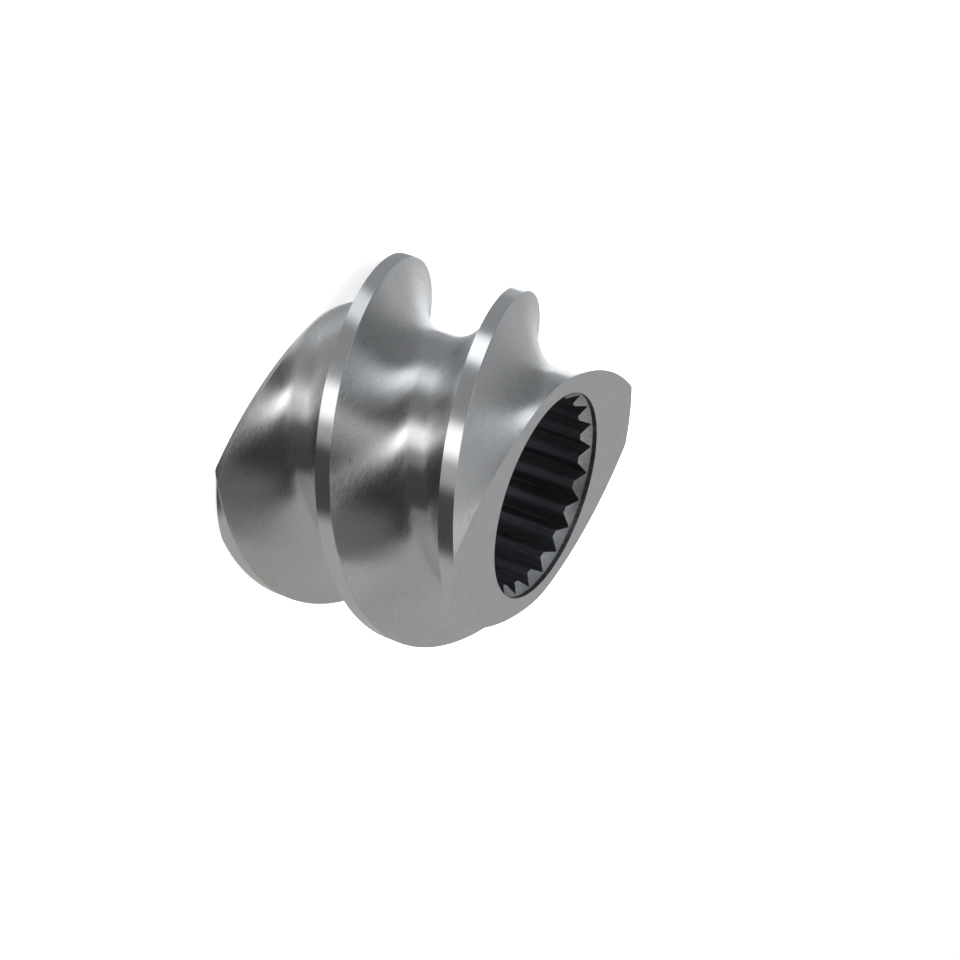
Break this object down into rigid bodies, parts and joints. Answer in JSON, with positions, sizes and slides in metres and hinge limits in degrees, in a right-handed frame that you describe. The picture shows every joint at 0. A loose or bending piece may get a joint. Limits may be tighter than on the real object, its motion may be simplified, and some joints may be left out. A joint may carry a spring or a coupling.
{
  "type": "extruder screw element",
  "caption": "Short right-handed conveying screw segment of polished steel with sharp helical flights and a splined through bore, for the shaft of a compounding extruder.",
  "frame": {"origin": "on the shaft axis in the rear end face, on which the element stands", "axes": "+Z along the shaft axis to the front end face; the two crests of each end face lie on the X axis"},
  "size_m": [0.0624, 0.0624, 0.044],
  "materials": {
    "machined_steel": "ground crest lands, satin machined channels and flat end faces, bare hardened steel"
  },
  "bodies": {
    "root": {"screw_element": "machined_steel"}
  },
  "joints": []
}
